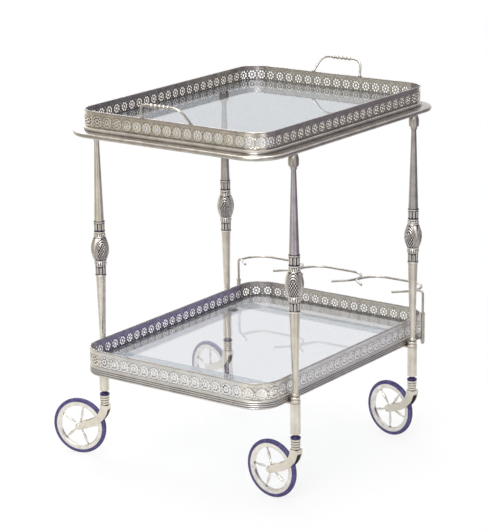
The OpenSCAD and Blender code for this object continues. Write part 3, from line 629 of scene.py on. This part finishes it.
# One object for some runs: the tile repeated along each and embossed, a flat back behind it, and
# a band of quads on every edge that only one triangle has, round the holes and the strip
def makeStrip(name, key, runs, t):
    points, fronts, backs, wearAndHighlightParts, count = [], [], [], [], 0
    h = t["height"] - gallery["bead"]
    bend = "radius" in runs[0]
    for run in runs:
        tiles = run["length"] / gallery["pitch"]
        n = round(tiles) if bend else int(tiles)
        width = run["length"] / n
        flat, tris, holes = makeTile(width, h)
        off, wearAndHighlight = embossing(flat, holes, width, h, t["carving"])
        s = np.repeat(np.arange(n) + 0.5, len(flat)) * width + np.tile(flat[:, 0], n)
        z = np.tile(flat[:, 1], n)
        rounded = np.round(np.column_stack([s, z]), 2)   # two tiles share the points between them
        _, first, same = np.unique(rounded, axis=0, return_index=True, return_inverse=True)
        tris = same.ravel()[np.vstack([tris + i * len(flat) for i in range(n)])]
        s, z, off, wearAndHighlight = s[first], z[first], np.tile(off, n)[first], np.tile(wearAndHighlight, n)[first]
        back = onRun(run, s, np.full(len(s), -gallery["thick"]))
        points += [np.column_stack([place, z + t["z"]]) for place in (onRun(run, s, off), back)]
        wearAndHighlightParts += [wearAndHighlight, wearAndHighlight]
        total = len(s)
        edges = np.vstack([tris[:, [0, 1]], tris[:, [1, 2]], tris[:, [2, 0]]])
        there, andBack = edges @ [total, 1], edges @ [1, total]
        a, b = edges[~np.isin(there, andBack)].T
        rims = np.stack([b, a, a + total, b + total], 1)
        fronts += (tris + count).tolist() + (rims + count).tolist()
        backs += (tris[:, ::-1] + total + count).tolist()
        count += 2 * total
    # Corner bends take the brighter plate with its painted highlight
    faces = [cornerHighlightSilver if bend else t["finish"], t["insides"].get(key, tarnishedSilver)]
    return meshObject(name, np.vstack(points), fronts + backs, faces, 50, np.hstack(wearAndHighlightParts),
                      len(fronts))


# Round bead along the top edge: a circle of the bead's radius carried round all the runs
def makeBead(name, t):
    r, around = gallery["bead"], gallery["beadSides"]
    path, out = [], []
    runs = galleryRuns(t)
    for key, bend in (("rear", 0), ("left", 1), ("front", 2), ("right", 3)):
        for run, steps in ((runs[key][0], 6), (runs["corners"][bend], 16)):
            s = np.linspace(0, run["length"], steps)[:-1]
            a, b = onRun(run, s, np.full(len(s), -0.8)), onRun(run, s, np.full(len(s), 0.2))
            path.append(a)
            out.append(b - a)
    path, out = np.vstack(path), np.vstack(out)
    a = np.linspace(0, 2 * np.pi, around, endpoint=False)
    xy = path[:, None, :] + r * np.cos(a)[None, :, None] * out[:, None, :]
    z = np.broadcast_to(t["z"] + t["height"] - r + r * np.sin(a), (len(path), around))
    points = np.dstack([xy, z]).reshape(-1, 3)
    rows = gridFaces(len(path) + 1, around, True) % len(points)
    return meshObject(name, points, rows[:, ::-1].tolist(), [dulledAndShadedSilver])


for prefix, tray, body in (("upper_gallery", upperTray, "serving_tray"),
                           ("lower_gallery", lowerTray, "frame")):
    for key, runs in galleryRuns(tray).items():
        strip = makeStrip(f"{prefix}_{key}_strip", key, runs, tray)
        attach(strip, body)
        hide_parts(f"{prefix}_{key}")
    bead = makeBead(f"{prefix}_bead", tray)
    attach(bead, body)
print("galleries made")


# Heights and radii in mm above the knop's foot, and the angles that its medallions face
knop = {
    "z": 379.5, "height": 113.0, "radius": 17.9, "neck": 11.2, "hole": 2.6, "bulb": (31.5, 81.0),
    "around": 240, "up": 264, "legX": 210.0, "legY": 233.5,
    "foot": [(0, 10.6), (0.8, 11.4), (3.2, 11.4), (4, 10.4), (5, 10.2), (20.5, 10.4), (21.4, 11),
             (24, 11.9), (28, 12.3), (30.6, 11.4), (31.5, 11.2)],
    "head": [(81, 11.2), (82.2, 11.8), (88, 10.4), (89, 11), (92, 11.1), (93, 10.3), (96, 10.2),
             (108, 10.5), (109, 11.1), (112.2, 11.1), (113, 10.4)],
    # rows of leaves: how many, lowest and highest point, height of their tips, middle groove
    "rows": [(9, 5.0, 20.3, 20.3, 0.9), (18, 21.8, 31.0, 21.8, 0),
             (18, 81.6, 88.8, 88.8, 0), (9, 92.8, 108.3, 92.8, 0.9)],
    "medallions": 3, "archHalf": 10.9, "archSpring": 47, "archRise": 20.5,
    "cellHeight": 8.0, "cellWidth": 5.0, "bandPitch": 0.235, "bud": 4.0,
    "brightRings": (2.0, 21.2, 31.6, 81.0, 90.6, 110.4),
    "darkRings": (4.5, 20.6, 33.4, 79.5, 92.4, 108.7, 112.4),
    "turns": {"front_left": 180.0, "rear_left": 150.0, "front_right": 145.0, "rear_right": 116.0}}


# The plain turned outline: foot and head go straight between their points, and the bulb swells
# from the neck as the 0.8 power of a sine
def knopOutline(z):
    low, high = knop["bulb"]
    swell = np.clip(np.sin(np.pi * np.clip((z - low) / (high - low), 0, 1)), 0, 1) ** 0.8
    bulb = knop["neck"] + (knop["radius"] - knop["neck"]) * swell
    foot, head = (np.interp(z, *np.transpose(knop[k])) for k in ("foot", "head"))
    return np.where(z < low, foot, np.where(z > high, head, bulb))


# Relief and wear of the chasing. A row of n leaves is a step in the distance to each leaf's
# middle, narrowed towards its tip, and the long tongues have a groove down the middle. On the
# bulb u is the way round from a medallion's middle in mm, and far is an upright arch's size
# through each point: a lattice of two crossed waves fills it up to 1, three bands follow, and
# buds stand in the corners between the arches. The lattice is 5 mm wide, coarser than the real
# one, so that it shows.
def knopChasing(a, z, turn):
    k = knop
    out, wearAndHighlight = np.zeros_like(a), np.zeros_like(a)
    for n, low, high, tip, groove in k["rows"]:
        s = np.abs((n * a / (2 * np.pi)) % 1 - 0.5) * 2
        half = 0.72 * np.sqrt(np.clip(np.abs(z - tip) / 3.5, 0, 1))
        leaf = (1 - ease(s, half - 0.2, half + 0.02)) - groove * bell(s, 0.14)
        row = ease(z, low, low + 0.6) * (1 - ease(z, high - 0.6, high))
        out += row * (0.95 * leaf - 0.6)
        wearAndHighlight += row * (2.6 * leaf - 1.4)
    half = np.pi * k["radius"] / k["medallions"]
    side = (((a - turn) * k["medallions"] / (2 * np.pi)) % 1 - 0.5) * 2 * half
    u = np.abs(side)
    rise = np.maximum(z - k["archSpring"], 0) / k["archRise"]
    far = np.sqrt((u / k["archHalf"]) ** 2 + rise ** 2)
    high, wide = z / k["cellHeight"], side / k["cellWidth"]
    cross = np.abs(np.sin(np.pi * (high + wide)) * np.sin(np.pi * (high - wide)))
    lattice = 1 - ease(cross, 0.04, 0.42)
    bands = 0.5 - 0.5 * np.cos(2 * np.pi * (far - 1) / k["bandPitch"])
    bud = bell(half - u, k["bud"])
    inside, outside = 1 - ease(far, 0.96, 1.0), ease(far, 1.68, 1.72)
    between = (1 - inside) * (1 - outside)
    bulb = ease(z, 32.2, 33.6) * (1 - ease(z, 79.2, 80.4))
    out += bulb * (inside * 0.9 * (lattice - 1) + between * 0.9 * (bands - 1)
                   + outside * 0.8 * (bud - 1))
    wearAndHighlight += bulb * (inside * (2.4 * lattice - 1.3) + between * (2.8 * bands - 1.5)
                    + outside * (2.0 * bud - 0.5))
    for height in k["brightRings"]:
        wearAndHighlight += 1.6 * bell(z - height, 0.9)
    for height in k["darkRings"]:
        wearAndHighlight -= 2.2 * bell(z - height, 0.7)
    return out, np.clip(wearAndHighlight, -1, 1)


# The knop about the axis (x, y): outline plus chasing on a grid of turns and heights, closed
# at both ends by flat rings down to the rod's hole
def makeKnop(name, x, y, turn):
    k = knop
    a = np.linspace(0, 2 * np.pi, k["around"], endpoint=False)
    z = np.linspace(0, k["height"], k["up"])
    aa, zz = np.meshgrid(a, z)
    relief, wearAndHighlight = knopChasing(aa, zz, turn)
    bore = np.full((1, k["around"]), k["hole"])
    r = np.vstack([bore, knopOutline(zz) + relief, bore, bore])
    wearAndHighlight = np.pad(wearAndHighlight, ((1, 2), (0, 0)))
    aa, zz = (np.vstack([v[:1], v, v[-1:], v[:1]]) for v in (aa, zz))
    points = np.stack([x + r * np.cos(aa), y + r * np.sin(aa), k["z"] + zz], -1).reshape(-1, 3)
    faces = gridFaces(len(zz), k["around"], True).tolist()
    return meshObject(name, points, faces, [chasedSilver], 60, wearAndHighlight)


for corner in corners:
    x = knop["legX"] if corner.startswith("rear") else -knop["legX"]
    y = knop["legY"] if corner.endswith("left") else -knop["legY"]
    piece = makeKnop(f"knop_{corner}_chased", x, y, math.radians(knop["turns"][corner]))
    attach(piece, "frame")
    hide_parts(f"knop_{corner}")
print("knops made")


# Finishes of the carried-over nodes, by how their names start. The first that fits counts.
finishes = [
    ("upper_glass", upperPane), ("lower_glass", lowerPane), ("glass_rails", frosted),
    ("tyre_", rubber), ("stem_", steel), ("leg_rods", steel), ("axle_", casterSilver),
    ("wheel_", casterSilver), ("fork_", brightSilver), ("sleeve_", brightSilver),
    # The legs are alike, yet one lower and three upper legs take brighter, darker or cooler copies of
    # the plate: painted light and shade by leg
    ("lower_leg_front_left", cornerHighlightSilver), ("lower_leg_", brightSilver),
    ("upper_leg_front_left", brightSilver), ("upper_leg_front_right", coolShadedSilver),
    ("upper_leg_rear_right", dulledAndShadedSilver), ("lower_moulding", reededSilver),
    ("upper_tray_base", mattSilver), ("", satinSilver)]
for name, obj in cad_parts.items():
    finish = next(m for start, m in finishes if name.startswith(start))
    if not obj.data.materials:
        obj.data.materials.append(finish)
    for slot in obj.material_slots:
        slot.material = finish
print("finishes set")
